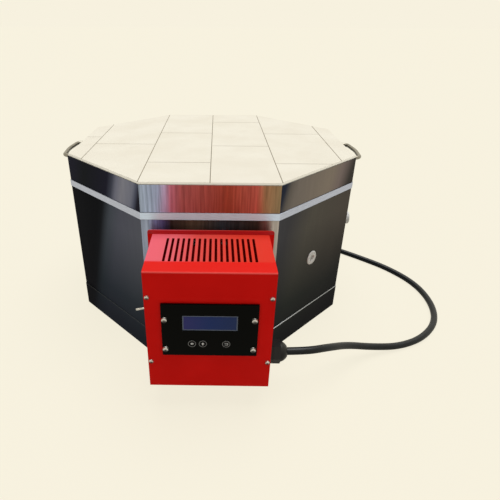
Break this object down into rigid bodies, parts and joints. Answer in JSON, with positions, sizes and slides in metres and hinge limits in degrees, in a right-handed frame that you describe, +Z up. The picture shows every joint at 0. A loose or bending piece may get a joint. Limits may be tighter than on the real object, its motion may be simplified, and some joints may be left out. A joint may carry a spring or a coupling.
{
  "type": "electric kiln",
  "caption": "Octagonal top-loading electric kiln: firebrick walls in a stainless jacket, lift-off brick lid, red control box with display, keys, toggle switch and power cord.",
  "frame": {"origin": "on the kiln's upright axis, at the underside of the base tray", "axes": "+Z up along the upright axis; the control box is on the -Y side; +X is to the right of someone facing the control box"},
  "size_m": [0.8155, 0.9009, 0.3415],
  "materials": {
    "polished_stainless": "mirror",
    "plated_steel": "polished",
    "circuit_board": "satin",
    "red_powder_coat": "semi-gloss",
    "black_rubber": "matte",
    "display": "gloss",
    "ceramic": "matte",
    "black_acrylic": "gloss",
    "firebrick": "matte",
    "black_nylon": "satin",
    "element_wire": "oxidised",
    "key_plastic": "satin",
    "brushed_stainless": "brushed",
    "brass": "satin",
    "phenolic": "satin"
  },
  "bodies": {
    "kiln": {"base_tray": "polished_stainless", "body_jacket": "polished_stainless", "chassis_screws": "plated_steel", "chassis_standoffs": "plated_steel", "circuit_board": "circuit_board", "control_chassis": "red_powder_coat", "control_cover": "red_powder_coat", "cord_coil": "black_rubber", "cord_tail": "black_rubber", "cover_screws": "plated_steel", "display_module": "display", "element_bushings": "ceramic", "fascia": "black_acrylic", "fascia_screws": "plated_steel", "floor_slab": "firebrick", "gland_body": "black_nylon", "gland_locknut": "black_nylon", "gland_nut": "black_nylon", "heating_element_1": "element_wire", "heating_element_2": "element_wire", "heating_element_3": "element_wire", "heating_element_4": "element_wire", "jacket_screws": "plated_steel", "lower_brick_back": "firebrick", "lower_brick_back_left": "firebrick", "lower_brick_back_right": "firebrick", "lower_brick_front": "firebrick", "lower_brick_front_left": "firebrick", "lower_brick_front_right": "firebrick", "lower_brick_left": "firebrick", "lower_brick_right": "firebrick", "plug_body": "black_rubber", "plug_pins": "brass", "power_cord": "black_rubber", "power_relay": "phenolic", "switch_body": "phenolic", "switch_nut": "plated_steel", "terminal_block": "phenolic", "thermocouple": "ceramic", "upper_brick_back": "firebrick", "upper_brick_back_left": "firebrick", "upper_brick_back_right": "firebrick", "upper_brick_front": "firebrick", "upper_brick_front_left": "firebrick", "upper_brick_front_right": "firebrick", "upper_brick_left": "firebrick", "upper_brick_right": "firebrick"},
    "lid": {"lid_slab": "firebrick", "lid_band": "polished_stainless", "lid_frame": "brushed_stainless", "handle_left": "plated_steel", "handle_right": "plated_steel", "handle_screws": "plated_steel", "lid_band_screws": "plated_steel"},
    "key_left": {"key_left": "key_plastic"},
    "key_up": {"key_up": "key_plastic"},
    "key_enter": {"key_enter": "key_plastic"},
    "switch_lever": {"switch_lever": "plated_steel"},
    "front_plug": {"peephole_plug_front_right": "ceramic"},
    "side_plug": {"peephole_plug_right": "ceramic"}
  },
  "joints": [
    {"name": "lid_lift", "type": "slide", "parent": "kiln", "child": "lid", "axis": [0, 0, 1], "range_m": [0, 0.45]},
    {"name": "key_left_press", "type": "slide", "parent": "kiln", "child": "key_left", "axis": [0, 1, 0], "range_m": [0, 0.0008], "stiffness_N_per_m": 400, "springref_m": -0.0004},
    {"name": "key_up_press", "type": "slide", "parent": "kiln", "child": "key_up", "axis": [0, 1, 0], "range_m": [0, 0.0008], "stiffness_N_per_m": 400, "springref_m": -0.0004},
    {"name": "key_enter_press", "type": "slide", "parent": "kiln", "child": "key_enter", "axis": [0, 1, 0], "range_m": [0, 0.0008], "stiffness_N_per_m": 400, "springref_m": -0.0004},
    {"name": "power_switch", "type": "hinge", "parent": "kiln", "child": "switch_lever", "pos_m": [-0.097, -0.35612, 0.158], "axis": [0, 1, 0], "range_deg": [0, 24]},
    {"name": "front_plug_pull", "type": "slide", "parent": "kiln", "child": "front_plug", "axis": [0.7071, -0.7071, 0], "range_m": [0, 0.08]},
    {"name": "side_plug_pull", "type": "slide", "parent": "kiln", "child": "side_plug", "axis": [1, 0, 0], "range_m": [-0.036, 0.045]}
  ]
}
